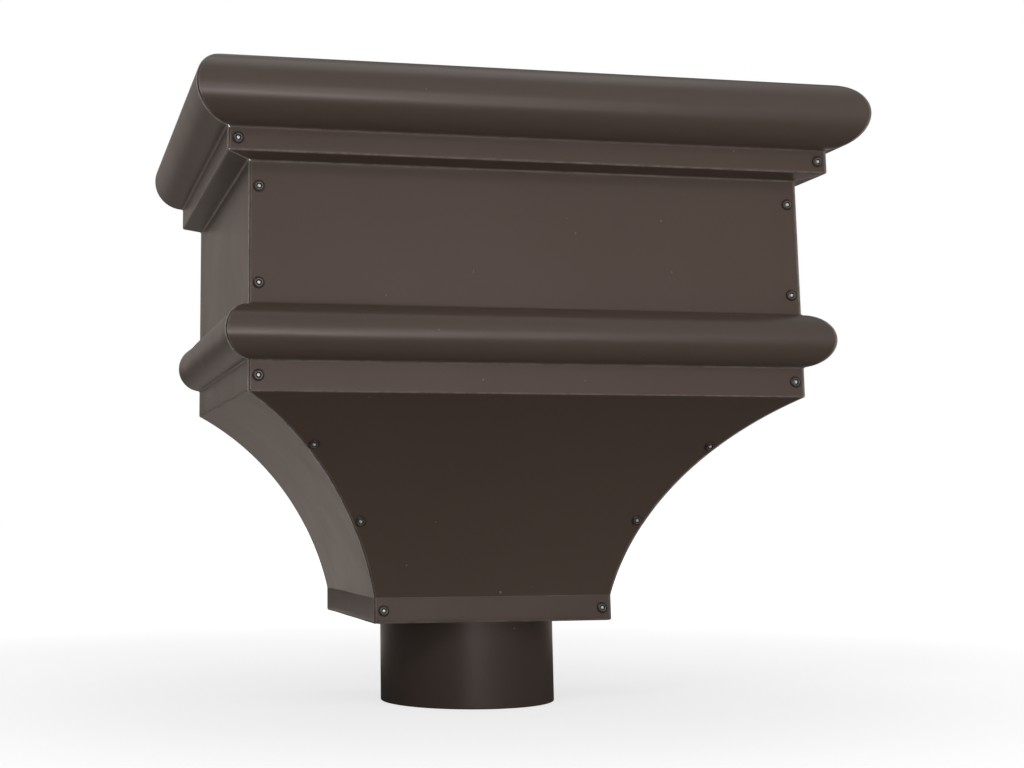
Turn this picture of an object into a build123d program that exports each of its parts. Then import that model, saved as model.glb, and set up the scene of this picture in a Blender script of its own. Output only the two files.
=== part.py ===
from build123d import *
import math
import os

# A rainwater leader head in painted sheet metal. One moulded profile is folded into the front
# and both sides, and the three sheets meet in square corner seams. A flat sheet closes the wall
# side. The origin is on the outlet's axis at its lower end. +Z is up and -Y is the front.
# All sizes are in millimetres.

# Sheet, folds and seams
sheet = 0.8
bend_radius = 1.2
seam_gap = 0.5
fit_gap = 0.3

# Outlet, and the foot's margins around it
outlet_diameter = 100.6
outlet_drop = 47.6
outlet_flange = 5.0
outlet_flange_sides = 24
outlet_side_margin = 17.7
outlet_front_margin = 8.0
outlet_back_margin = 23.8

# Profile from the foot up
foot_height = 14.0
foot_flange = 6.0
cove_height = 105.9
cove_setback = 81.4
cove_radius = 162.0
belt_height = 15.8
belt_bead_height = 28.0
belt_bead_rise = 13.2
frieze_height = 73.4
soffit_reach = 12.4
soffit_fall = 1.9
crown_strip_height = 12.6
crown_bead_radius = 17.9
top_return = 14.0
hem_width = 9.0
hem_roundness = 0.9

# Seam tabs, turned in behind the front and the back
tab_width = 12.0
tab_relief = 2.2
cove_tab_notch = 1.6
cove_tab_pitch = 17.0

# Blind rivets along the corner seams
rivet_inset = 5.3
rivet_head_diameter = 6.0
rivet_head_height = 1.15
rivet_crown_diameter = 3.4
rivet_diameter = 3.2
rivet_hole_diameter = 3.4
rivet_bulb_diameter = 4.6
rivet_bulb_length = 3.0
rivet_seat_gap = 0.05
rivet_sides = 8
mandrel_diameter = 1.8
mandrel_bore_diameter = 1.9
mandrel_recess = 0.35
mandrel_head_diameter = 3.0
mandrel_head_length = 1.2
frieze_rivet_from_top = 13.4
frieze_rivet_from_bead = 10.6
cove_rivet_drops = (24.6, 64.5)

# Levels worked out from the profile
foot_low = outlet_drop
foot_high = foot_low + foot_height
belt_low = foot_high + cove_height
belt_high = belt_low + belt_height
frieze_low = belt_high + belt_bead_height
frieze_high = frieze_low + frieze_height
crown_low = frieze_high + soffit_fall
crown_high = crown_low + crown_strip_height
rim_high = crown_high + 2 * crown_bead_radius

# Plan worked out from the outlet, its margins and the cove
foot_width = outlet_diameter + 2 * outlet_side_margin
body_width = foot_width + 2 * cove_setback
half_width = body_width / 2
wall_y = outlet_diameter / 2 + outlet_back_margin
foot_y = -outlet_diameter / 2 - outlet_front_margin
frieze_y = foot_y - cove_setback
body_depth = wall_y - frieze_y
crown_reach = soffit_reach + crown_bead_radius
bend_inset = max(sheet, bend_radius)
core_depth = cove_setback + 2 * foot_flange

# The cove is an arc about a centre that stands out in front of it and below it
cove_chord = math.hypot(cove_setback, cove_height)
cove_rise = math.sqrt(cove_radius**2 - (cove_chord / 2) ** 2)
cove_centre_reach = -cove_setback / 2 + cove_rise * cove_height / cove_chord
cove_centre_level = belt_low - cove_height / 2 - cove_rise * cove_setback / cove_chord

# Profiles are drawn as (reach, level): reach is measured outwards from the frieze face
front_plane = Plane(origin=(0, frieze_y, 0), x_dir=(0, -1, 0), z_dir=(-1, 0, 0))
left_plane = Plane(origin=(-half_width, frieze_y - crown_reach, 0), x_dir=(-1, 0, 0), z_dir=(0, 1, 0))

# Flat bands that carry a seam tab: reach, lower level, upper level
flat_bands = [
    (soffit_reach, crown_low, crown_high),
    (0.0, frieze_low, frieze_high),
    (0.0, belt_low, belt_high),
    (-cove_setback, foot_low, foot_high),
]


def cove_reach(level, behind=0.0):
    """Reach of the cove at a level, on the surface that lies behind its face by this much."""
    radius = cove_radius + behind
    return cove_centre_reach - math.sqrt(radius**2 - (level - cove_centre_level) ** 2)


def profile_region(folded=True):
    """Filled profile of the head, from its moulded face inwards to a plain line. A sheet that is
    only cut to this outline, and not folded along it, has sharp corners."""
    with BuildSketch() as region:
        with BuildLine():
            Line((-core_depth, rim_high), (soffit_reach, rim_high))
            ThreePointArc(
                (soffit_reach, rim_high),
                (crown_reach, rim_high - crown_bead_radius),
                (soffit_reach, crown_high),
            )
            Polyline(
                (soffit_reach, crown_high),
                (soffit_reach, crown_low),
                (0, frieze_high),
                (0, frieze_low),
            )
            ThreePointArc(
                (0, frieze_low),
                (belt_bead_rise, belt_high + belt_bead_height / 2),
                (0, belt_high),
            )
            Line((0, belt_high), (0, belt_low))
            ThreePointArc(
                (0, belt_low),
                (cove_reach(belt_low - cove_height / 2), belt_low - cove_height / 2),
                (-cove_setback, foot_high),
            )
            Polyline(
                (-cove_setback, foot_high),
                (-cove_setback, foot_low),
                (-core_depth, foot_low),
                (-core_depth, rim_high),
            )
        make_face()
        if folded:
            folds = [
                corner
                for corner in region.vertices()
                if corner.X > -core_depth + sheet and corner.Y < rim_high - crown_bead_radius
            ]
            fillet(folds, bend_radius)
    return region.sketch


def sheet_section():
    """Section of the folded sheet: the profile less its own inset, open on the inner side."""
    with BuildSketch() as section:
        add(profile_region())
        offset(amount=-sheet, mode=Mode.SUBTRACT)
        with Locations((-core_depth, foot_low)):
            Rectangle(
                core_depth - cove_setback - foot_flange,
                rim_high - foot_low,
                align=(Align.MIN, Align.MIN),
                mode=Mode.SUBTRACT,
            )
        with Locations((soffit_reach - top_return, rim_high)):
            Rectangle(
                core_depth,
                2 * sheet,
                align=(Align.MAX, Align.MAX),
                mode=Mode.SUBTRACT,
            )
            Rectangle(hem_width, 2 * sheet, align=(Align.MIN, Align.MAX))
        hem_nose = section.vertices().filter_by_position(
            Axis.X, soffit_reach - top_return - sheet / 4, soffit_reach - top_return + sheet / 4
        )
        fillet(hem_nose, hem_roundness * sheet)
    return section.sketch


def front_seats():
    """Places of the rivets on the front's outer face, each with its axis pointing outwards."""
    flat = [
        (soffit_reach, (crown_low + crown_high) / 2),
        (0.0, frieze_high - frieze_rivet_from_top),
        (0.0, frieze_low + frieze_rivet_from_bead),
        (0.0, (belt_low + belt_high) / 2),
        (-cove_setback, (foot_low + foot_high) / 2),
    ]
    points = [(reach, level, 1.0, 0.0) for reach, level in flat]
    for drop in cove_rivet_drops:
        level = belt_low - drop
        reach = cove_reach(level)
        out_reach = (cove_centre_reach - reach) / cove_radius
        out_level = (cove_centre_level - level) / cove_radius
        points.append((reach, level, out_reach, out_level))
    seats = []
    for reach, level, out_reach, out_level in points:
        for side in (-1, 1):
            origin = (side * (half_width + reach - rivet_inset), frieze_y - reach, level)
            seats.append(Location(Plane(origin, x_dir=(1, 0, 0), z_dir=(0, -out_reach, out_level))))
    return seats


section = sheet_section()
seats = front_seats()
left_seats = [seat for seat in seats if seat.position.X < 0]
grip = 2 * sheet

# Hole for one rivet. The rivets and their holes are small and repeat often, so their rounds are
# drawn with few sides.
with BuildPart() as rivet_hole:
    with BuildSketch(Plane.XY):
        RegularPolygon(rivet_hole_diameter / 2, rivet_sides)
    extrude(amount=2 * grip, both=True)

# Front: the profile runs across the width and is cut to the corner planes at both ends
with BuildPart() as front_panel:
    with BuildSketch(front_plane):
        add(section)
    extrude(amount=half_width + crown_reach, both=True)
    with BuildSketch(Plane.XY):
        Polygon(
            (-half_width - crown_reach + seam_gap / 2, frieze_y - crown_reach),
            (half_width + crown_reach - seam_gap / 2, frieze_y - crown_reach),
            (half_width - core_depth - seam_gap / 2, frieze_y + core_depth),
            (-half_width + core_depth + seam_gap / 2, frieze_y + core_depth),
            align=None,
        )
    extrude(amount=rim_high, mode=Mode.INTERSECT)
    with Locations(*seats):
        add(rivet_hole.part, mode=Mode.SUBTRACT)
front_panel.part.label = "front_panel"

# Turned-in edge of the left side's cove, notched so that it can follow the curve
with BuildPart() as cove_tab:
    tab_low = foot_high + tab_relief
    tab_high = belt_low - tab_relief
    with BuildSketch(front_plane):
        with BuildLine():
            for behind in (sheet, 2 * sheet):
                ThreePointArc(
                    (cove_reach(tab_low, behind), tab_low),
                    (cove_reach((tab_low + tab_high) / 2, behind), (tab_low + tab_high) / 2),
                    (cove_reach(tab_high, behind), tab_high),
                )
            for level in (tab_low, tab_high):
                Line((cove_reach(level, sheet), level), (cove_reach(level, 2 * sheet), level))
        make_face()
    extrude(amount=half_width)
    with BuildSketch(left_plane):
        with BuildLine():
            for behind in (sheet / 2, tab_width):
                ThreePointArc(
                    (cove_reach(foot_high, behind), foot_high),
                    (cove_reach((foot_high + belt_low) / 2, behind), (foot_high + belt_low) / 2),
                    (cove_reach(belt_low, behind), belt_low),
                )
            for level in (foot_high, belt_low):
                Line((cove_reach(level, sheet / 2), level), (cove_reach(level, tab_width), level))
        make_face()
    extrude(amount=body_depth + crown_reach, mode=Mode.INTERSECT)
    fixed_levels = [belt_low, *[belt_low - drop for drop in cove_rivet_drops], foot_high]
    notch_levels = []
    for upper, lower in zip(fixed_levels, fixed_levels[1:]):
        notches = max(1, round((upper - lower) / cove_tab_pitch))
        notch_pitch = (upper - lower) / notches
        notch_levels += [upper - notch_pitch * (index + 0.5) for index in range(notches)]
    with Locations(*[(0, frieze_y, level) for level in notch_levels]):
        Box(body_width, 2 * body_depth, cove_tab_notch, mode=Mode.SUBTRACT)

# Left side: the same profile runs back to the wall, with tabs behind the front and the back
with BuildPart() as left_side:
    with BuildSketch(left_plane):
        add(section)
    extrude(amount=body_depth + crown_reach)
    with BuildSketch(Plane.XY):
        Polygon(
            (-half_width - crown_reach - seam_gap / 2, frieze_y - crown_reach),
            (-half_width + core_depth - seam_gap / 2, frieze_y + core_depth),
            (-half_width + core_depth - seam_gap / 2, wall_y),
            (-half_width - crown_reach - seam_gap / 2, wall_y),
            align=None,
        )
    extrude(amount=rim_high, mode=Mode.INTERSECT)
    for reach, low, high in flat_bands:
        for tab_front in (frieze_y - reach + sheet, wall_y - 2 * sheet):
            with BuildSketch(Plane.XZ.offset(-tab_front)):
                with Locations((-half_width - reach + sheet / 2, low + tab_relief)):
                    Rectangle(tab_width, high - low - 2 * tab_relief, align=(Align.MIN, Align.MIN))
            extrude(amount=-sheet)
    add(cove_tab.part)
    with Locations(*left_seats):
        add(rivet_hole.part, mode=Mode.SUBTRACT)
left_side.part.label = "left_side"

# Right side: the left one mirrored
with BuildPart() as right_side:
    add(mirror(left_side.part, about=Plane.YZ, mode=Mode.PRIVATE))
right_side.part.label = "right_side"

# Back: a flat sheet with the profile's own outline, set between the sides against their tabs
with BuildPart() as back_panel:
    with BuildSketch(Plane.XZ.offset(-wall_y)):
        with Locations(Location((-half_width, 0))):
            add(mirror(profile_region(False), about=Plane.YZ, mode=Mode.PRIVATE))
        with Locations(Location((half_width, 0))):
            add(profile_region(False))
        with Locations((0, foot_low)):
            Rectangle(foot_width, rim_high - foot_low, align=(Align.CENTER, Align.MIN))
        offset(amount=-sheet - fit_gap, kind=Kind.INTERSECTION, mode=Mode.REPLACE)
        with Locations((0, rim_high - 2 * sheet - fit_gap)):
            Rectangle(
                body_width + 2 * crown_reach,
                2 * sheet,
                align=(Align.CENTER, Align.MIN),
                mode=Mode.SUBTRACT,
            )
    extrude(amount=sheet)
back_panel.part.label = "back_panel"

# Floor: rests on the turned-in lower edges and takes the outlet
with BuildPart() as bottom_plate:
    plate_front = foot_y + bend_inset + fit_gap
    plate_back = wall_y - sheet - fit_gap
    with BuildSketch(Plane.XY.offset(foot_low + sheet)):
        with Locations((0, (plate_front + plate_back) / 2)):
            Rectangle(foot_width - 2 * bend_inset - 2 * fit_gap, plate_back - plate_front)
        Circle(outlet_diameter / 2 + bend_radius + fit_gap, mode=Mode.SUBTRACT)
    extrude(amount=sheet)
bottom_plate.part.label = "bottom_plate"

# Outlet: a straight tube with a turned-out top edge that hangs on the floor. The turn is drawn as a
# bevel, and the hidden rim of the turned-out edge with few sides.
with BuildPart() as outlet_tube:
    outlet_radius = outlet_diameter / 2
    seat_level = foot_low + 2 * sheet
    with BuildSketch(Plane.XZ):
        with BuildLine():
            Polyline(
                (outlet_radius, 0),
                (outlet_radius, seat_level - bend_radius),
                (outlet_radius + bend_radius, seat_level),
                (outlet_radius + bend_radius, seat_level + sheet),
                (outlet_radius - sheet, seat_level + sheet),
                (outlet_radius - sheet, 0),
                close=True,
            )
        make_face()
    revolve(axis=Axis.Z)
    with BuildSketch(Plane.XY.offset(seat_level)):
        RegularPolygon(outlet_radius + outlet_flange, outlet_flange_sides)
        Circle(outlet_radius, mode=Mode.SUBTRACT)
    extrude(amount=sheet)
outlet_tube.part.label = "outlet_tube"

# One blind rivet and its broken-off mandrel, drawn with the seat at the origin
shank_low = -grip - rivet_bulb_length
with BuildPart() as rivet:
    with BuildSketch(Plane.XY.offset(rivet_seat_gap)):
        RegularPolygon(rivet_head_diameter / 2, rivet_sides)
    with BuildSketch(Plane.XY.offset(rivet_head_height)):
        RegularPolygon(rivet_crown_diameter / 2, rivet_sides)
    loft()
    with BuildSketch(Plane.XY.offset(shank_low)):
        RegularPolygon(rivet_diameter / 2, rivet_sides)
    extrude(amount=rivet_seat_gap - shank_low)
    with BuildSketch(Plane.XY.offset(shank_low)):
        RegularPolygon(rivet_bulb_diameter / 2, rivet_sides)
    extrude(amount=rivet_bulb_length - rivet_seat_gap)
    with BuildSketch(Plane.XY.offset(shank_low)):
        RegularPolygon(mandrel_bore_diameter / 2, rivet_sides)
    extrude(amount=rivet_head_height - shank_low, mode=Mode.SUBTRACT)

with BuildPart() as mandrel:
    stub_high = rivet_head_height - mandrel_recess
    stub_low = shank_low - rivet_seat_gap
    with BuildSketch(Plane.XY.offset(stub_low)):
        RegularPolygon(mandrel_diameter / 2, rivet_sides)
    extrude(amount=stub_high - stub_low)
    with BuildSketch(Plane.XY.offset(stub_low)):
        RegularPolygon(mandrel_head_diameter / 2, rivet_sides)
    extrude(amount=-mandrel_head_length)

with BuildPart() as front_rivets:
    with Locations(*seats):
        add(rivet.part)
front_rivets.part.label = "front_rivets"

with BuildPart() as front_mandrels:
    with Locations(*seats):
        add(mandrel.part)
front_mandrels.part.label = "front_mandrels"

os.makedirs("parts", exist_ok=True)
export_step(front_panel.part, "parts/front_panel.step")
export_step(left_side.part, "parts/left_side.step")
export_step(right_side.part, "parts/right_side.step")
export_step(back_panel.part, "parts/back_panel.step")
export_step(bottom_plate.part, "parts/bottom_plate.step")
export_step(outlet_tube.part, "parts/outlet_tube.step")
export_step(front_rivets.part, "parts/front_rivets.step")
export_step(front_mandrels.part, "parts/front_mandrels.step")
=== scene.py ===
"""Rainwater leader head in dark bronze painted sheet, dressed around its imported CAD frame.

The front and both sides are one moulded profile carried along a straight line and cut to the square
corner planes. The outlet, rivets and mandrel stubs are turned profiles. Lengths are in millimetres
until a mesh is made, in the frame of the CAD part: +Z up, -Y out of the front, +Y to the wall.
"""
import math

import bmesh
import bpy
import numpy as np
from mathutils import Matrix, Vector


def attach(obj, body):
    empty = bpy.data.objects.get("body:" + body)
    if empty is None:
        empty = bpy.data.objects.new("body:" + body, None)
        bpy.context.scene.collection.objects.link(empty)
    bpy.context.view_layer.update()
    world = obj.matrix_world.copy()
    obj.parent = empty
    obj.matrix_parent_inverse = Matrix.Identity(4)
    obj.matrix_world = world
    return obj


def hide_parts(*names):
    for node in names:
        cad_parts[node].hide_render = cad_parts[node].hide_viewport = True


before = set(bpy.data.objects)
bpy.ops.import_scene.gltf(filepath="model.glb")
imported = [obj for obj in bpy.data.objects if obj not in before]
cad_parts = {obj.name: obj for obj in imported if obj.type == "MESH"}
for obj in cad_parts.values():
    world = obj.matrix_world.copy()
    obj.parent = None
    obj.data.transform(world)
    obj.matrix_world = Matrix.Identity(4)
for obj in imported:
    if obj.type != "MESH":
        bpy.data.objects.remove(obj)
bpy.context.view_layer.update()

MM = 0.001
# Points nearer to each other than this, in metres, become one
SAME_POINT = 1e-7

# Sheet and seams
SHEET = 0.8
BEND = 1.2
SEAM = 0.5
SEAM_SHOW, FOOT_SEAM_SHOW = 1.05, 0.75
FOOT_CLIP = 1.3
BACK_FLARE, FLARE_LENGTH = 0.7, 26.0
# Stations in from each end of a sheet, closest at the end
EDGE_STATIONS = (0.0, 0.3, 0.7, 1.4, 3.0, 6.0, 12.0, 20.0)

# Profile levels, and reach outwards from the frieze face
FOOT_LOW, FOOT_HIGH = 47.6, 61.6
BELT_LOW, BELT_HIGH = 167.5, 183.3
FRIEZE_LOW, FRIEZE_HIGH = 211.3, 284.7
CROWN_LOW, CROWN_HIGH, RIM = 286.6, 299.2, 335.0
CROWN_REACH, CROWN_BEAD = 12.4, 17.9
BELT_RISE = 13.2
COVE_SETBACK, COVE_RADIUS = 81.4, 162.0
FOOT_FLANGE = 6.0
TOP_RETURN, HEM_WIDTH = 14.0, 9.0

# Plan
HALF_WIDTH = 149.4
FRIEZE_Y, WALL_Y = -139.7, 74.1

# Tabs turned in behind the front and in front of the back
TAB_WIDTH, TAB_CLIP = 12.0, 1.5
TAB_RELIEF, FRONT_TAB_RELIEF = 2.2, 0.9
COVE_TAB_NOTCH, COVE_TAB_PITCH = 1.6, 17.0

# Rivets, and how many steps go round each
RIVET_INSET = 5.3
COVE_RIVET_DROPS = (24.6, 64.5)
FRIEZE_RIVET_FROM_TOP, FRIEZE_RIVET_FROM_BEAD = 13.4, 10.6
RIVET_ROUND = 40

# Outlet, and how many steps go round it
OUTLET_RADIUS, OUTLET_FLANGE = 50.3, 4.5
OUTLET_ROUND = 192

# Cove centre, from its chord between belt and foot
COVE_DROP = BELT_LOW - FOOT_HIGH
COVE_CHORD = math.hypot(COVE_SETBACK, COVE_DROP)
COVE_RISE = math.sqrt(COVE_RADIUS**2 - (COVE_CHORD / 2) ** 2)
COVE_CENTRE = np.array([
    -COVE_SETBACK / 2 + COVE_RISE * COVE_DROP / COVE_CHORD,
    BELT_LOW - COVE_DROP / 2 - COVE_RISE * COVE_SETBACK / COVE_CHORD,
])

# Belt bead circle, through both ends of the bead and its nose
BELT_HALF = (FRIEZE_LOW - BELT_HIGH) / 2
BELT_BEAD = (BELT_HALF**2 + BELT_RISE**2) / (2 * BELT_RISE)
BELT_CENTRE = np.array([BELT_RISE - BELT_BEAD, (FRIEZE_LOW + BELT_HIGH) / 2])
CROWN_CENTRE = np.array([CROWN_REACH, RIM - CROWN_BEAD])


def smooth(low, high, value):
    """Cubic step from 0 at low to 1 at high, level beyond both. low may be the greater of the two."""
    t = np.clip((value - low) / (high - low), 0.0, 1.0)
    return t * t * (3.0 - 2.0 * t)


def run(start, end, count):
    """Points evenly along a straight line, with its outward side on the left of the way down."""
    start, end = np.asarray(start, float), np.asarray(end, float)
    points = start + np.linspace(0.0, 1.0, count)[:, None] * (end - start)
    along = (end - start) / np.linalg.norm(end - start)
    normals = np.tile([-along[1], along[0]], (count, 1))
    return points, normals, np.zeros((count, 2))


def bend(centre, radius, start, end, count, side=1.0, fold=0.0, rolled=0.0):
    """Points evenly along an arc about centre between two angles in degrees. side 1 faces away from
    the centre and -1 towards it. The marks are fold, which rises as a half sine to its value in the
    middle of the arc and makes the bend paler, partly from rubbing and partly as a painted highlight,
    and rolled, for a bead that the rollers have burnished."""
    angle = np.radians(np.linspace(start, end, count))
    spoke = np.stack([np.cos(angle), np.sin(angle)], 1)
    rise = np.sin(np.linspace(0.0, np.pi, count))
    marks = np.stack([fold * rise, np.full(count, rolled)], 1)
    return np.asarray(centre) + radius * spoke, side * spoke, marks


def bearing(centre, point):
    """Angle in degrees from a centre to a point, from the outward axis towards up."""
    return math.degrees(math.atan2(point[1] - centre[1], point[0] - centre[0]))


def fold_at_arc(line, centre, radius, hollow, air_inside, upper):
    """Fold circle between the upright line and a circle: BEND away from the line, in the air where
    the fold is hollow, and touching the circle. Returns its centre and both touching points."""
    side = 1.0 if hollow else -1.0
    reach = line + side * BEND
    distance = radius + (-side if air_inside else side) * BEND
    height = math.sqrt(distance**2 - (reach - centre[0]) ** 2)
    middle = np.array([reach, centre[1] + (height if upper else -height)])
    on_arc = np.asarray(centre) + (middle - centre) * radius / distance
    return middle, on_arc, np.array([line, middle[1]])


def fold_between(before, corner, after, hollow):
    """Fold circle between two straight lines: BEND away from both. Returns its centre and both
    touching points, at BEND times the tangent of half the turn from the corner."""
    before, corner, after = (np.asarray(p, float) for p in (before, corner, after))
    way_in = (corner - before) / np.linalg.norm(corner - before)
    way_out = (after - corner) / np.linalg.norm(after - corner)
    turn = math.acos(float(np.clip(way_in @ way_out, -1.0, 1.0)))
    reach = BEND * math.tan(turn / 2)
    outward = np.array([-way_in[1], way_in[0]])
    first, second = corner - way_in * reach, corner + way_out * reach
    return first + outward * BEND * (1.0 if hollow else -1.0), first, second


def moulded_profile():
    """Outer face of the folded sheet from the crown's top down to the turned-in foot edge: straight
    bands, two beads and the cove, each joined by a fold of radius BEND. Returns points, outward
    normals and marks."""
    crown_fold, crown_end, strip_top = fold_at_arc(
        CROWN_REACH, CROWN_CENTRE, CROWN_BEAD, True, False, False)
    drip, drip_in, drip_out = fold_between(
        strip_top, (CROWN_REACH, CROWN_LOW), (0.0, FRIEZE_HIGH), False)
    nook, nook_in, nook_out = fold_between(
        (CROWN_REACH, CROWN_LOW), (0.0, FRIEZE_HIGH), (0.0, FRIEZE_LOW), True)
    belt_top, belt_start, frieze_end = fold_at_arc(
        0.0, BELT_CENTRE, BELT_BEAD, True, False, True)
    belt_foot, belt_end, belt_strip = fold_at_arc(
        0.0, BELT_CENTRE, BELT_BEAD, True, False, False)
    brow, cove_start, strip_end = fold_at_arc(
        0.0, COVE_CENTRE, COVE_RADIUS, False, True, True)
    ankle, cove_end, foot_start = fold_at_arc(
        -COVE_SETBACK, COVE_CENTRE, COVE_RADIUS, True, True, True)
    heel, heel_in, heel_out = fold_between(
        foot_start, (-COVE_SETBACK, FOOT_LOW), (-COVE_SETBACK - FOOT_FLANGE, FOOT_LOW), False)
    # The number after side in each fold's bend is its fold mark: paler paint along the bend, partly
    # from rubbing and partly a painted highlight.
    parts = [
        bend(CROWN_CENTRE, CROWN_BEAD, 90.0, bearing(CROWN_CENTRE, crown_end), 65, rolled=1.0),
        bend(crown_fold, BEND, bearing(crown_fold, crown_end), 180.0, 9, -1.0, 0.5),
        run(strip_top, drip_in, 7),
        bend(drip, BEND, 0.0, bearing(drip, drip_out), 9, 1.0, 1.0),
        run(drip_out, nook_in, 7),
        bend(nook, BEND, bearing(nook, nook_in), 180.0, 9, -1.0, 0.8),
        run(nook_out, frieze_end, 37),
        bend(belt_top, BEND, 180.0, 360.0 + bearing(belt_top, belt_start), 9, -1.0),
        bend(BELT_CENTRE, BELT_BEAD, bearing(BELT_CENTRE, belt_start),
             bearing(BELT_CENTRE, belt_end), 57, rolled=1.0),
        bend(belt_foot, BEND, bearing(belt_foot, belt_end), 180.0, 9, -1.0, 0.8),
        run(belt_strip, strip_end, 9),
        bend(brow, BEND, 0.0, bearing(brow, cove_start), 9, 1.0, 1.0),
        bend(COVE_CENTRE, COVE_RADIUS, bearing(COVE_CENTRE, cove_start),
             bearing(COVE_CENTRE, cove_end), 61, -1.0),
        bend(ankle, BEND, bearing(ankle, cove_end), 180.0, 5, -1.0, 0.8),
        run(foot_start, heel_in, 9),
        bend(heel, BEND, 0.0, -90.0, 9, 1.0, 1.0),
        run(heel_out, (-COVE_SETBACK - FOOT_FLANGE, FOOT_LOW), 4),
    ]
    points, normals, marks = (
        np.concatenate([rows[index > 0:] for index, rows in enumerate(kind)]) for kind in zip(*parts))
    return points, normals, marks


def hemmed_section():
    """Closed section of the sheet as matching outer and inner lines: the moulded profile and its
    inset by SHEET, led in by the flat top return whose hem is two sheets thick with a round nose."""
    nose = CROWN_REACH - TOP_RETURN
    turn = np.radians(np.linspace(180.0, 90.0, 7))
    flat = np.array([3.0, 6.0, HEM_WIDTH - 0.02])
    hem_x = nose + np.concatenate([SHEET * (1.0 + np.cos(turn)), flat])
    hem_z = np.concatenate([RIM - SHEET * (1.0 - np.sin(turn)), np.full_like(flat, RIM)])
    plain_x = np.array([nose + HEM_WIDTH, CROWN_REACH - 2.0])
    lead = np.stack([np.concatenate([hem_x, plain_x]),
                     np.concatenate([hem_z, np.full_like(plain_x, RIM)])], 1)
    under = np.concatenate([2.0 * (RIM - SHEET) - hem_z, np.full_like(plain_x, RIM - SHEET)])
    points, normals, marks = moulded_profile()
    outer = np.concatenate([lead, points])
    inner = np.concatenate([np.stack([lead[:, 0], under], 1), points - SHEET * normals])
    outward = np.concatenate([np.tile([0.0, 1.0], (len(lead), 1)), normals])
    outward[:len(turn)] = np.stack([np.cos(turn), np.sin(turn)], 1)
    return outer, inner, outward, np.concatenate([np.zeros((len(lead), 2)), marks])


def spread(low, high, edges, count):
    """Stations between two arrays of ends: the given distances in from each end, and even steps
    between the innermost of them. One row for each pair of ends."""
    low, high = np.asarray(low)[:, None], np.asarray(high)[:, None]
    edges = np.asarray(edges)[None, :]
    share = np.linspace(0.0, 1.0, count)[None, 1:-1]
    first, last = low + edges[:, -1:], high - edges[:, -1:]
    return np.concatenate([low + edges, first + share * (last - first), high - edges[:, ::-1]], 1)


def grid_faces(rows, columns, wrap):
    """Quads of a grid of points, with the last row joined to the first where it wraps."""
    row = np.arange(rows if wrap else rows - 1)[:, None]
    column = np.arange(columns - 1)[None, :]
    following = (row + 1) % rows
    quads = np.stack([
        row * columns + column, following * columns + column,
        following * columns + column + 1, row * columns + column + 1], -1)
    return quads.reshape(-1, 4)


def strip_caps(half, columns):
    """Quads that close a sheet's two ends, between each outer point and the inner one behind it."""
    outer = np.arange(half - 1)
    inner = 2 * half - 1 - outer
    caps = []
    for column in (0, columns - 1):
        quads = np.stack([outer, inner, inner - 1, outer + 1], -1) * columns + column
        caps.append(quads if column == 0 else quads[:, ::-1])
    return np.concatenate(caps)


def outward_faces(points, faces):
    """The faces, turned over if the volume that they enclose comes out negative."""
    a, b, c, d = (points[faces[:, corner]] for corner in range(4))
    volume = np.einsum("ij,ij->i", a, np.cross(b, c) + np.cross(c, d)).sum()
    return faces if volume > 0 else faces[:, ::-1]


class Stock:
    """Points, quads and finish marks gathered for one mesh. Each point has two marks, fold and
    rolled, and each face has one, raw, for bare cut metal. fold is pale rubbing and painted highlight
    on the sheets, and painted shade in the rivets' mouths."""

    def __init__(self):
        self.points, self.faces, self.marks, self.raw = [], [], [], []
        self.count = 0

    def add(self, points, faces, marks=None, raw=None):
        points = np.asarray(points, float).reshape(-1, 3)
        self.points.append(points)
        self.faces.append(outward_faces(points, faces) + self.count)
        self.marks.append(np.zeros((len(points), 2)) if marks is None else marks.reshape(-1, 2))
        self.raw.append(np.zeros(len(faces)) if raw is None else raw)
        self.count += len(points)

    def piece(self, name, node, finish, crease=35.0):
        """One object at the origin that stands for a CAD node and rides with the root body. Points
        that meet on a turned piece's axis or at the hem's nose become one."""
        points = np.concatenate(self.points) * MM
        faces = np.concatenate(self.faces)
        mesh = bpy.data.meshes.new(name)
        mesh.from_pydata(points.tolist(), [], faces.tolist())
        fold, rolled = np.concatenate(self.marks).T
        for mark, kind, values in (("fold", "POINT", fold), ("rolled", "POINT", rolled),
                                   ("raw", "FACE", np.concatenate(self.raw))):
            mesh.attributes.new(mark, "FLOAT", kind).data.foreach_set(
                "value", np.ascontiguousarray(values, np.float32))
        shell = bmesh.new()
        shell.from_mesh(mesh)
        bmesh.ops.remove_doubles(shell, verts=shell.verts, dist=SAME_POINT)
        shell.to_mesh(mesh)
        shell.free()
        mesh.shade_smooth()
        mesh.set_sharp_from_angle(angle=math.radians(crease))
        mesh.materials.append(finish)
        mesh.validate()
        made = bpy.data.objects.new(name, mesh)
        bpy.context.scene.collection.objects.link(made)
        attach(made, "root")
        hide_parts(node)


def oil_canning(along, level, phase):
    """Slight hand-folded waviness in millimetres: four long sine waves over length and height."""
    return (
        0.16 * np.sin(along / 47.0 + phase) * np.sin(level / 31.0 + 0.6 * phase)
        + 0.11 * np.sin(along / 23.0 + 1.7 + phase) * np.sin(level / 41.0 + 2.1)
        + 0.07 * np.sin(along / 13.0 + level / 19.0 + 2.0 * phase)
        + 0.05 * np.sin(along / 9.0 - level / 27.0 + phase)
    )


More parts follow.
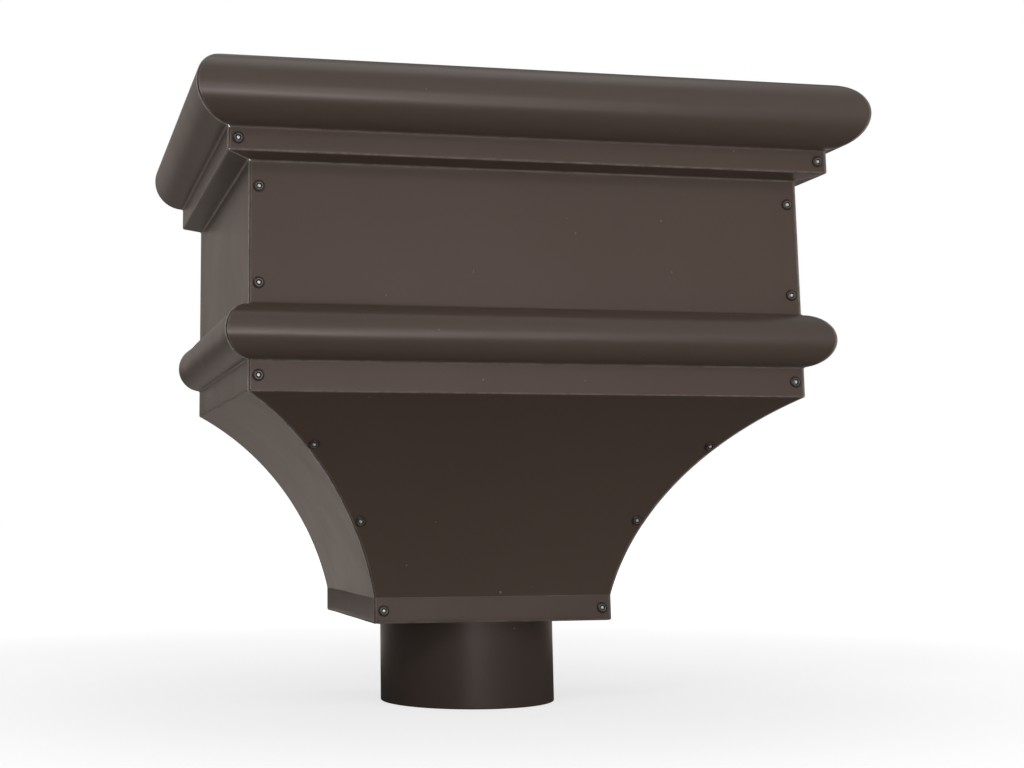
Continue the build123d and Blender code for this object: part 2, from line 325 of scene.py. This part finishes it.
def carried_sheet(length_low, length_high, count, phase, burnish, place):
    """The sheet's section carried along a straight line. Each section point runs from its own lower
    to its own upper end, and waviness fades out at both ends and towards the folds. place turns
    (reach, along, level) into the part's frame. Returns points, faces, point marks and raw marks."""
    outer, inner, outward, marks = hemmed_section()
    half = len(outer)
    low, high = length_low(outer[:, 0]), length_high(outer[:, 0])
    inner_low, inner_high = length_low(inner[:, 0]), length_high(inner[:, 0])
    along = np.concatenate([
        spread(low, high, EDGE_STATIONS, count),
        spread(inner_low, inner_high, EDGE_STATIONS, count)[::-1]])
    section = np.concatenate([outer, inner[::-1]])
    facing = np.concatenate([outward, outward[::-1]])
    marks = np.concatenate([marks, marks[::-1]])
    columns = along.shape[1]
    inset = np.minimum(along - along[:, :1], along[:, -1:] - along)
    wave = oil_canning(along, section[:, 1:2], phase) * smooth(4.0, 30.0, inset)
    wave *= smooth(CROWN_HIGH, CROWN_LOW, section[:, 1:2]) * (1.0 - 0.7 * np.abs(facing[:, 1:2]))
    reach = section[:, 0:1] + wave * facing[:, 0:1]
    level = section[:, 1:2] + wave * facing[:, 1:2]
    points = place(reach, along, level)
    # Fold mark, raised within 0.7 mm of each cut end: pale from rubbing at the ends, and along the
    # folds pale from rubbing with a painted highlight.
    wear_and_painted_highlight = np.maximum(marks[:, :1], 1.0 - smooth(0.0, 0.7, inset))
    point_marks = np.stack(np.broadcast_arrays(wear_and_painted_highlight, burnish * marks[:, 1:]), -1)
    sides = grid_faces(2 * half, columns, True)
    caps = strip_caps(half, columns)
    raw = np.concatenate([np.zeros(len(sides)), np.ones(len(caps))])
    raw[(half - 1) * (columns - 1):half * (columns - 1)] = 1.0
    return points, np.concatenate([sides, caps]), point_marks, raw


def corner_clip(reach):
    """The seam's ends are clipped a little where the foot turns under."""
    return FOOT_CLIP * smooth(-COVE_SETBACK - 0.1, -COVE_SETBACK - 1.4, reach)


def front_sheet():
    """Front: the section carried across the width between the two corner planes. It stops a little
    short of them, so that the sides' cut edges show along the seams."""
    def place(reach, along, level):
        return np.stack(np.broadcast_arrays(along, FRIEZE_Y - reach, level), -1)

    def end(reach):
        at_foot = smooth(-COVE_SETBACK + 6.0, -COVE_SETBACK, reach)
        show = SEAM_SHOW + (FOOT_SEAM_SHOW - SEAM_SHOW) * at_foot
        return HALF_WIDTH + reach - show - corner_clip(reach)

    return carried_sheet(
        lambda reach: -end(reach), end, count=60, phase=0.4, burnish=1.0, place=place)


def side_sheet(side):
    """Side: the section carried from the corner plane back to the wall, on the left for side -1."""
    def place(reach, along, level):
        flare = BACK_FLARE * smooth(WALL_Y - FLARE_LENGTH, WALL_Y, along) * (level < FRIEZE_HIGH)
        return np.stack(np.broadcast_arrays(side * (HALF_WIDTH + reach + flare), along, level), -1)

    return carried_sheet(
        lambda reach: FRIEZE_Y - reach + SEAM / 2 + corner_clip(reach),
        lambda reach: np.full_like(reach, WALL_Y),
        count=40, phase=2.3 + side, burnish=0.0, place=place)


def cove_reach(level, behind=0.0):
    """Reach of the cove's circle at a level, on the surface that lies behind its face."""
    return COVE_CENTRE[0] - np.sqrt((COVE_RADIUS + behind) ** 2 - (level - COVE_CENTRE[1]) ** 2)


def closed_tube(stock, points, raw_rows=()):
    """Adds a tube to the stock: its corners are the rows of points, and its length runs along the
    columns. Quads join each row to the next and the last to the first, and one face closes each end.
    The two ends and the rows that are named are raw."""
    rows, columns = points.shape[:2]
    corner = np.arange(rows) * columns
    ends = np.stack([corner[::-1], corner + columns - 1])
    raw = np.zeros((rows, columns - 1))
    raw[list(raw_rows)] = 1.0
    faces = np.concatenate([grid_faces(rows, columns, True), ends])
    stock.add(points, faces, None, np.concatenate([raw.ravel(), np.ones(len(ends))]))


def flat_tabs(stock, side):
    """Turned-in plates behind the front and in front of the back, one on each flat band: a thin
    closed tube of four corners, carried from inside the side sheet to the tab's free edge."""
    bands = ((CROWN_REACH, CROWN_LOW, CROWN_HIGH), (0.0, FRIEZE_LOW, FRIEZE_HIGH),
             (0.0, BELT_LOW, BELT_HIGH), (-COVE_SETBACK, FOOT_LOW, FOOT_HIGH))
    for reach, low, high in bands:
        behind_front, before_back = FRIEZE_Y - reach + SHEET, WALL_Y - 2 * SHEET
        for front, relief in ((behind_front, FRONT_TAB_RELIEF), (before_back, TAB_RELIEF)):
            width = np.array([0.0, TAB_WIDTH - TAB_CLIP, TAB_WIDTH])
            inward = HALF_WIDTH + reach - SHEET / 2 - width
            clip = np.array([0.0, 0.0, TAB_CLIP])
            ring_y = front + SHEET * np.array([0.0, 0.0, 1.0, 1.0])
            ring_z = np.stack([low + relief + clip, high - relief - clip,
                               high - relief - clip, low + relief + clip])
            closed_tube(stock, np.stack(np.broadcast_arrays(
                side * inward[None, :], ring_y[:, None], ring_z), -1))


def cove_tabs(stock, side):
    """Notched turned-in edge behind the cove: plates that follow the cove's circle behind the front
    sheet, from the side's own cove inwards by the tab's width, with a notch between each two."""
    fixed = [BELT_LOW, *[BELT_LOW - drop for drop in COVE_RIVET_DROPS], FOOT_HIGH]
    cuts = []
    for upper, lower in zip(fixed, fixed[1:]):
        notches = max(1, round((upper - lower) / COVE_TAB_PITCH))
        step = (upper - lower) / notches
        cuts += [upper - step * (index + 0.5) for index in range(notches)]
    tops = [BELT_LOW - TAB_RELIEF] + [cut - COVE_TAB_NOTCH / 2 for cut in cuts]
    feet = [cut + COVE_TAB_NOTCH / 2 for cut in cuts] + [FOOT_HIGH + TAB_RELIEF]
    for top, foot in zip(tops, feet):
        level = np.linspace(top, foot, 9)
        root = HALF_WIDTH + cove_reach(level, SHEET / 2)
        free = HALF_WIDTH + cove_reach(level, TAB_WIDTH)
        face = FRIEZE_Y - cove_reach(level, SHEET)
        back = FRIEZE_Y - cove_reach(level, 2 * SHEET)
        corners = ((root, face), (free, face), (free, back), (root, back))
        free_edge = 1
        closed_tube(stock, np.stack([
            np.stack([side * across, depth, level], -1) for across, depth in corners]), [free_edge])


def turned(radius, height, count, ripple=None):
    """A closed turned ring: the profile's radius and height carried round the axis. ripple, if
    given, is a radius added for each step round."""
    angle = np.linspace(0.0, 2 * np.pi, count, endpoint=False)
    radius = np.asarray(radius, float)[:, None] + (0.0 if ripple is None else ripple[None, :])
    return np.stack(np.broadcast_arrays(
        radius * np.cos(angle), radius * np.sin(angle), np.asarray(height, float)[:, None]), -1)


def turned_faces(rows, count, wrap):
    """Quads of a turned surface, closed round the axis, and along the profile where it wraps."""
    row = np.arange(rows if wrap else rows - 1)[:, None]
    column = np.arange(count)[None, :]
    below, after = (row + 1) % rows, (column + 1) % count
    quads = np.stack([
        row * count + column, row * count + after, below * count + after, below * count + column], -1)
    return quads.reshape(-1, 4)


def outlet_ring():
    """Outlet: the tube's closed wall section turned about Z. The lower edge is round, and the top edge
    turns out in a bend and lies flat. The tube is a touch out of round."""
    seat, rim, ease = FOOT_LOW + 2 * SHEET, OUTLET_RADIUS + OUTLET_FLANGE, 0.25
    lip = np.radians(np.linspace(180.0, 360.0, 9))
    turn = np.radians(np.linspace(180.0, 90.0, 7))
    wall = np.linspace(1.0, seat - BEND - 0.5, 14)
    radius = np.concatenate([
        OUTLET_RADIUS - SHEET / 2 + SHEET / 2 * np.cos(lip), np.full_like(wall, OUTLET_RADIUS),
        OUTLET_RADIUS + BEND + BEND * np.cos(turn), [rim - ease, rim, rim, rim - ease],
        (OUTLET_RADIUS + BEND + (BEND + SHEET) * np.cos(turn))[::-1],
        np.full_like(wall, OUTLET_RADIUS - SHEET)])
    height = np.concatenate([
        SHEET / 2 + SHEET / 2 * np.sin(lip), wall,
        seat - BEND + BEND * np.sin(turn), seat + np.array([0.0, ease, SHEET - ease, SHEET]),
        (seat - BEND + (BEND + SHEET) * np.sin(turn))[::-1], wall[::-1]])
    angle = np.linspace(0.0, 2 * np.pi, OUTLET_ROUND, endpoint=False)
    ripple = 0.07 * np.sin(2 * angle + 0.5) + 0.05 * np.sin(5 * angle)
    points = turned(radius, height, OUTLET_ROUND, ripple)
    return points, turned_faces(len(radius), OUTLET_ROUND, True)


def rivet_seats():
    """Seats of the rivets on the front's face: places, and unit vectors that point outwards."""
    flat = [(CROWN_REACH, (CROWN_LOW + CROWN_HIGH) / 2), (0.0, FRIEZE_HIGH - FRIEZE_RIVET_FROM_TOP),
            (0.0, FRIEZE_LOW + FRIEZE_RIVET_FROM_BEAD), (0.0, (BELT_LOW + BELT_HIGH) / 2),
            (-COVE_SETBACK, (FOOT_LOW + FOOT_HIGH) / 2)]
    rows = [(reach, level, 1.0, 0.0) for reach, level in flat]
    for drop in COVE_RIVET_DROPS:
        level = BELT_LOW - drop
        reach = float(cove_reach(level))
        out = (COVE_CENTRE - np.array([reach, level])) / COVE_RADIUS
        rows.append((reach, level, out[0], out[1]))
    rows = np.array(rows)
    places, axes = [], []
    for side in (-1.0, 1.0):
        places.append(np.stack([side * (HALF_WIDTH + rows[:, 0] - RIVET_INSET),
                                FRIEZE_Y - rows[:, 0], rows[:, 1]], 1))
        axes.append(np.stack([np.zeros(len(rows)), -rows[:, 2], rows[:, 3]], 1))
    return np.concatenate(places), np.concatenate(axes)


def set_on_seats(points, seats):
    """Copies of points on every seat: their X, Y and Z carried along the seat's own three axes."""
    places, axes = seats
    across = np.tile([1.0, 0.0, 0.0], (len(axes), 1))
    along = np.cross(axes, across)
    return (places[:, None] + points[None, :, 0:1] * across[:, None]
            + points[None, :, 1:2] * along[:, None] + points[None, :, 2:3] * axes[:, None])


def rivet_profile():
    """Blind rivet in section: a domed head with a rolled rim and a countersunk mouth, the shank
    through both sheets, the swelled blind end, and the bore. The marks are fold inside the mouth, for
    painted shade there, and rolled on the bare rim round it."""
    dome = np.linspace(0.0, 1.0, 9)
    bore, mouth, shank, head = 0.95, 1.45, 1.6, 3.0
    edge, crown, blind_face = 0.3, 1.15, -2 * SHEET - 0.02
    dome_r = mouth + 0.25 + dome * (head - mouth - 0.25)
    dome_z = edge + (crown - edge) * np.sqrt(np.clip(1.0 - (dome * 0.98) ** 2.2, 0.0, 1.0))
    radius = np.concatenate([
        [bore, bore, 1.10, mouth], dome_r,
        [2.99, 2.9, shank, shank, 2.1, 2.3, 2.3, 2.0, bore]])
    height = np.concatenate([
        [-4.5, 0.05, 0.30, 1.05], dome_z,
        [0.15, 0.05, 0.05, blind_face, -1.8, -2.5, -3.8, -4.5, -4.6]])
    marks = np.zeros((len(radius), 2))
    # Fold mark on the bore and mouth: painted dark as shade.
    marks[:4, 0] = (1.0, 1.0, 1.0, 0.7)
    marks[4, 1] = 0.5
    return radius, height, marks


def mandrel_profile():
    """Broken mandrel in section: a slightly domed stub end in the rivet's bore, its pin, and the
    round head behind the blind end. Both ends close on the axis."""
    radius = np.array([0.0, 0.35, 0.66, 0.84, 0.9, 0.9, 0.9, 1.4, 1.5, 1.5, 1.3, 0.0])
    height = np.array([0.92, 0.91, 0.87, 0.76, 0.6, -2.0, -4.65, -4.65, -4.75, -5.5, -5.85, -5.85])
    return radius, height


class Wire:
    """A shader socket that takes part in Python arithmetic. Each operation adds one Math node."""

    def __init__(self, tree, socket):
        self.tree, self.socket = tree, socket

    def math(self, operation, *values):
        node = self.tree.nodes.new("ShaderNodeMath")
        node.operation = operation
        for socket, value in zip(node.inputs, values):
            feed(self.tree, socket, value)
        return Wire(self.tree, node.outputs[0])

    def __add__(self, other):
        return self.math("ADD", self, other)

    def __sub__(self, other):
        return self.math("SUBTRACT", self, other)

    def __rsub__(self, other):
        return self.math("SUBTRACT", other, self)

    def __mul__(self, other):
        return self.math("MULTIPLY", self, other)

    __radd__ = __add__
    __rmul__ = __mul__


def feed(tree, socket, value):
    """Links a wire to a socket, or sets the socket to a plain value."""
    if isinstance(value, Wire):
        tree.links.new(value.socket, socket)
    else:
        socket.default_value = value


class Finish:
    """A node tree being written: node() adds a node, sets its settings, then feeds its sockets."""

    def __init__(self, owner):
        owner.use_nodes = True
        self.tree = owner.node_tree
        self.tree.nodes.clear()

    def node(self, kind, settings=(), sockets=(), out=0):
        node = self.tree.nodes.new("ShaderNode" + kind)
        for name, value in dict(settings).items():
            setattr(node, name, value)
        for key, value in dict(sockets).items():
            feed(self.tree, node.inputs[key], value)
        return Wire(self.tree, node.outputs[out])

    def place(self):
        return self.node("TexCoord", out="Object")

    def along(self, axis):
        """One of the Object coordinates, in metres."""
        return self.node("SeparateXYZ", sockets={0: self.place()}, out=axis)

    def noise(self, scale, detail=2.0, roughness=0.5):
        """Fractal noise on Object coordinates, in waves per metre."""
        return self.node("TexNoise", sockets={
            "Vector": self.place(), "Scale": scale, "Detail": detail, "Roughness": roughness})

    def band(self, value, low, high):
        """Smooth step of a value from 0 at low to 1 at high."""
        return self.node("MapRange", {"interpolation_type": "SMOOTHSTEP"}, {
            "Value": value, "From Min": low, "From Max": high})

    def blend(self, factor, first, second):
        """Mixes two colours."""
        return self.node("Mix", {"data_type": "RGBA"}, {
            0: factor, 6: first, 7: second}, out=2)

    def mark(self, name):
        """A weight that the mesh carries under this name."""
        return self.node("Attribute", {"attribute_name": name}, out="Fac")

    def surface(self, shader):
        output = self.tree.nodes.new("ShaderNodeOutputMaterial")
        self.tree.links.new(shader.socket, output.inputs["Surface"])


def bronze_paint():
    """Satin dark bronze coil coating: a little mottled, burnished along the beads, pale along the
    folds from rubbing and a painted highlight, pale from rubbing at the cut edges, darkened with
    painted shade on the outlet below the floor, with a fine skin, faint smears and a few specks of
    dust."""
    material = bpy.data.materials.new("bronze_paint")
    f = Finish(material)
    mottle = f.noise(9.0, 3.0)
    grain = f.noise(420.0, 2.0)
    smear = f.noise(38.0, 5.0, 0.65)
    speck = f.band(f.noise(260.0, 1.0), 0.80, 0.83)
    chips = f.band(f.noise(150.0, 3.0, 0.7), 0.35, 0.62)
    fold, rolled, raw = f.mark("fold"), f.mark("rolled"), f.mark("raw")
    base = f.blend(mottle, (0.070, 0.0485, 0.0375, 1.0), (0.080, 0.0560, 0.0435, 1.0))
    # Painted shade: everything below the floor's level, which is the outlet, is darkened as if it lay
    # in shade under the head.
    painted_shade_below_floor = 1.0 - f.band(f.along("Z"), 0.0455, 0.0470)
    shaded = f.blend(painted_shade_below_floor * 0.9, base, (0.046, 0.0325, 0.0260, 1.0))
    # Paler paint along the folds and cut ends: partly rubbing, partly a painted highlight where the
    # bends catch light.
    paled = f.blend(fold * (0.28 + 0.40 * chips), shaded, (0.230, 0.190, 0.170, 1.0))
    dusty = f.blend(speck * 0.45, paled, (0.30, 0.27, 0.24, 1.0))
    bare = f.blend(raw * (0.55 + 0.45 * chips), dusty, (0.34, 0.310, 0.285, 1.0))
    gloss = 0.30 + 0.10 * smear + 0.10 * speck + 0.08 * raw
    height = grain * 0.6 + smear * 0.4
    skin = f.node("Bump", sockets={"Strength": 0.10, "Distance": 0.0004, "Height": height})
    f.surface(f.node("BsdfPrincipled", sockets={
        "Base Color": bare, "Roughness": gloss, "Normal": skin, "IOR": 1.5,
        "Specular Tint": (1.0, 0.86, 0.87, 1.0), "Coat Weight": rolled * (0.70 + 0.30 * smear),
        "Coat Roughness": 0.26}))
    return material


def rivet_paint():
    """Dark bronze paint on the rivets, glossier than the sheet, rubbed at the rim, with painted shade
    near black in the mouth.
    """
    material = bpy.data.materials.new("rivet_paint")
    f = Finish(material)
    cloud = f.noise(700.0, 3.0)
    rub = f.band(f.noise(1500.0, 2.0), 0.62, 0.78)
    mouth, rim = f.mark("fold"), f.mark("rolled")
    base = f.blend(cloud, (0.032, 0.0235, 0.0195, 1.0), (0.048, 0.035, 0.029, 1.0))
    paled = f.blend(rub * 0.35, base, (0.16, 0.145, 0.135, 1.0))
    bare = f.blend(rim * (0.55 + 0.45 * cloud), paled, (0.78, 0.76, 0.74, 1.0))
    # Painted shade: the bore and mouth are painted near black.
    hollow = f.blend(mouth, bare, (0.006, 0.005, 0.005, 1.0))
    skin = f.node("Bump", sockets={"Strength": 0.15, "Distance": 0.0001, "Height": cloud})
    f.surface(f.node("BsdfPrincipled", sockets={
        "Base Color": hollow, "Metallic": rim * 0.9, "Normal": skin, "IOR": 1.5,
        "Roughness": 0.13 + 0.12 * cloud + 0.3 * mouth}))
    return material


def mandrel_steel():
    """Bright broken steel of the mandrel stubs, rough where it snapped."""
    material = bpy.data.materials.new("mandrel_steel")
    f = Finish(material)
    break_grain = f.noise(2600.0, 3.0)
    base = f.blend(break_grain, (0.78, 0.77, 0.75, 1.0), (0.92, 0.91, 0.89, 1.0))
    skin = f.node("Bump", sockets={"Strength": 0.25, "Distance": 0.0001, "Height": break_grain})
    f.surface(f.node("BsdfPrincipled", sockets={
        "Base Color": base, "Roughness": 0.30 + 0.14 * break_grain, "Metallic": 0.55, "Normal": skin}))
    return material


def pale_floor():
    """Pale floor, white to the camera, with a soft shadow that is partly painted shade: its colour
    is darker close round the object. Seen in a reflection it glows as a painted pool of light where
    it lies open in front, pale and warm in a band behind, and dim elsewhere."""
    material = bpy.data.materials.new("pale_floor")
    f = Finish(material)
    camera_ray = f.node("LightPath", out="Is Camera Ray")
    glossy_ray = f.node("LightPath", out="Is Glossy Ray")
    clear_ray = f.node("LightPath", out="Is Transmission Ray")
    place, back = f.place(), f.along("Y")
    from_object = f.node("VectorMath", {"operation": "LENGTH"}, {0: place}, out="Value")
    from_pool = f.node(
        "VectorMath", {"operation": "DISTANCE"}, {0: place, 1: (0.0, -1.25, 0.0)}, out="Value")
    behind = f.band(back, 0.22, 0.42) * (1.0 - f.band(back, 0.50, 0.84))
    near = 1.0 - f.band(from_object, 0.14, 0.36)
    pool = 1.0 - f.band(from_pool, 0.32, 0.62)
    # Painted shadow: the floor's colour darkens close round the object.
    tone = f.blend(near, (0.80, 0.80, 0.80, 1.0), (0.50, 0.50, 0.50, 1.0))
    # Glow seen only in reflections: a painted pool of white light in front, dim elsewhere, and a pale
    # warm band behind.
    seen = f.blend(pool, (0.04, 0.04, 0.04, 1.0), (1.0, 0.94, 0.94, 1.0))
    lift = 0.63 + 0.06 * near + 0.46 * f.band(from_object, 0.3, 1.4)
    lit = f.node("BsdfDiffuse", sockets={"Color": tone})
    white = f.node("Emission", sockets={"Color": lift * (camera_ray + clear_ray)})
    seen = f.blend(behind, seen, (0.90, 0.79, 0.71, 1.0))
    mirrored = f.node("Emission", sockets={"Color": seen})
    plain = f.node("AddShader", sockets={0: lit, 1: white})
    f.surface(f.node("MixShader", sockets={0: glossy_ray, 1: plain, 2: mirrored}))
    return material


def softbox(name, place, target, size, radiance, mirrored=True):
    """A rectangular lamp that faces its target. Its power is radiance times its area times pi. A lamp
    that isn't mirrored lights the object without showing in its reflections."""
    lamp = bpy.data.lights.new(name, "AREA")
    lamp.shape = "RECTANGLE"
    lamp.size, lamp.size_y = size
    lamp.energy = radiance * math.pi * size[0] * size[1]
    holder = bpy.data.objects.new(name, lamp)
    holder.location = place
    holder.rotation_mode = "QUATERNION"
    holder.rotation_quaternion = (Vector(target) - Vector(place)).to_track_quat("-Z", "Y")
    holder.visible_camera = False
    holder.visible_glossy = mirrored
    bpy.context.scene.collection.objects.link(holder)


def studio_card(name, corners, finish):
    """One quad of the studio, from its four corners."""
    mesh = bpy.data.meshes.new(name)
    mesh.from_pydata(corners, [], [(0, 1, 2, 3)])
    mesh.materials.append(finish)
    made = bpy.data.objects.new(name, mesh)
    bpy.context.scene.collection.objects.link(made)
    return made


def dark_flag():
    """Dim warm card that only reflections see, as a studio's flag behind the object: palest high up
    on the left."""
    material = bpy.data.materials.new("dark_flag")
    f = Finish(material)
    pale = f.band(f.along("Z"), 0.15, 0.28) * (1.0 - f.band(f.along("X"), -0.10, 0.20))
    tone = f.blend(pale, (0.14, 0.122, 0.110, 1.0), (0.45, 0.395, 0.36, 1.0))
    f.surface(f.node("Emission", sockets={"Color": tone}))
    return material


def studio():
    """Floor, flag, lamps and a world that is white behind the object and dim as a light."""
    far, under = 12.0, -0.0001
    studio_card("floor", [(-far, -far, under), (far, -far, under), (far, far, under),
                          (-far, far, under)], pale_floor())
    wide, behind, tall = 2.0, 0.9, 1.6
    flag = studio_card("flag", [(-wide, behind, 0.0), (wide, behind, 0.0), (wide, behind, tall),
                                (-wide, behind, tall)], dark_flag())
    flag.visible_camera = flag.visible_diffuse = False
    flag.visible_shadow = flag.visible_transmission = False
    world = bpy.data.worlds.new("studio_world")
    bpy.context.scene.world = world
    f = Finish(world)
    camera_ray = f.node("LightPath", out="Is Camera Ray")
    glossy_ray = f.node("LightPath", out="Is Glossy Ray")
    clear_ray = f.node("LightPath", out="Is Transmission Ray")
    strength = 0.25 + 0.75 * camera_ray + 0.05 * glossy_ray + 0.75 * clear_ray
    backdrop = f.node("Background", sockets={"Color": (1.0, 1.0, 1.0, 1.0), "Strength": strength})
    output = f.tree.nodes.new("ShaderNodeOutputWorld")
    f.tree.links.new(backdrop.socket, output.inputs["Surface"])
    middle = (0.0, -0.06, 0.19)
    softbox("key_softbox", (0.9, -2.0, 1.4), middle, (1.8, 1.4), 0.8, False)
    softbox("left_softbox", (-1.9, -0.9, 1.1), middle, (1.3, 1.3), 0.5, False)
    softbox("right_softbox", (2.0, -1.4, 0.8), middle, (1.4, 0.9), 0.4, False)
    softbox("low_softbox", (0.40, -1.2, 0.11), (0.0, 0.0, 0.11), (1.0, 0.20), 6.0, False)
    softbox("top_softbox", (0.1, -0.1, 2.3), (0.1, -0.1, 0.0), (1.8, 1.4), 0.40)
    softbox("front_softbox", (0.0, -1.75, 0.24), (0.0, 0.0, 0.24), (1.2, 0.48), 0.8)
    softbox("glint_softbox", (-0.9, -1.3, 1.1), middle, (0.25, 0.25), 14.0)
    softbox("strip_softbox", (-0.08, -0.95, 0.06), (-0.04, 0.0, 0.06), (0.34, 0.10), 3.0)


def photograph_camera():
    """Camera at the photograph's place: turned to the right by yaw, tipped up by pitch, rolled a
    little, with the frame shifted because the picture is centred on the object."""
    yaw, pitch, roll = (math.radians(angle) for angle in (10.960, 8.799, -0.194))
    focal, axis_u, axis_v = 1572.26, 330.0, 270.0
    width, height = 1024.0, 768.0
    forward = np.array([
        math.sin(yaw) * math.cos(pitch), math.cos(yaw) * math.cos(pitch), math.sin(pitch)])
    right = np.array([math.cos(yaw), -math.sin(yaw), 0.0])
    up = np.cross(right, forward)
    across = math.cos(roll) * right + math.sin(roll) * up
    upright = -math.sin(roll) * right + math.cos(roll) * up
    place = np.array([-257.31, -912.54, 107.27]) * MM
    data = bpy.data.cameras.new("photograph_camera")
    data.sensor_fit = "HORIZONTAL"
    data.sensor_width = 36.0
    data.lens = focal / width * data.sensor_width
    data.shift_x = (width / 2 - axis_u) / width
    data.shift_y = -(height / 2 - axis_v) / width
    data.clip_start, data.clip_end = 0.01, 100.0
    camera = bpy.data.objects.new("photograph_camera", data)
    turn = np.eye(4)
    turn[:3, 0], turn[:3, 1], turn[:3, 2], turn[:3, 3] = across, upright, -forward, place
    camera.matrix_world = Matrix(turn.tolist())
    bpy.context.scene.collection.objects.link(camera)
    bpy.context.scene.camera = camera


sheet_finish = bronze_paint()
rivet_finish = rivet_paint()
mandrel_finish = mandrel_steel()

front = Stock()
front.add(*front_sheet())
front.piece("front_sheet", "front_panel", sheet_finish)

for side_name, side in (("left", -1.0), ("right", 1.0)):
    sheet = Stock()
    sheet.add(*side_sheet(side))
    flat_tabs(sheet, side)
    cove_tabs(sheet, side)
    sheet.piece(side_name + "_sheet", side_name + "_side", sheet_finish)

outlet = Stock()
outlet.add(*outlet_ring())
outlet.piece("outlet", "outlet_tube", sheet_finish)

seats = rivet_seats()

rivet_radius, rivet_height, rivet_marks = rivet_profile()
rivet_points = turned(rivet_radius, rivet_height, RIVET_ROUND)
rivet_faces = turned_faces(len(rivet_radius), RIVET_ROUND, True)
rivets = Stock()
for copy in set_on_seats(rivet_points.reshape(-1, 3), seats):
    rivets.add(copy, rivet_faces, np.repeat(rivet_marks, RIVET_ROUND, 0))
rivets.piece("rivets", "front_rivets", rivet_finish, crease=50.0)

mandrel_radius, mandrel_height = mandrel_profile()
mandrel_points = turned(mandrel_radius, mandrel_height, RIVET_ROUND)
mandrel_faces = turned_faces(len(mandrel_radius), RIVET_ROUND, False)
mandrels = Stock()
for copy in set_on_seats(mandrel_points.reshape(-1, 3), seats):
    mandrels.add(copy, mandrel_faces)
mandrels.piece("mandrels", "front_mandrels", mandrel_finish, crease=40.0)

for kept in ("back_panel", "bottom_plate"):
    kept_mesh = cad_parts[kept].data
    kept_mesh.materials.clear()
    kept_mesh.materials.append(sheet_finish)

studio()
photograph_camera()
bpy.context.scene.view_settings.view_transform = "Standard"
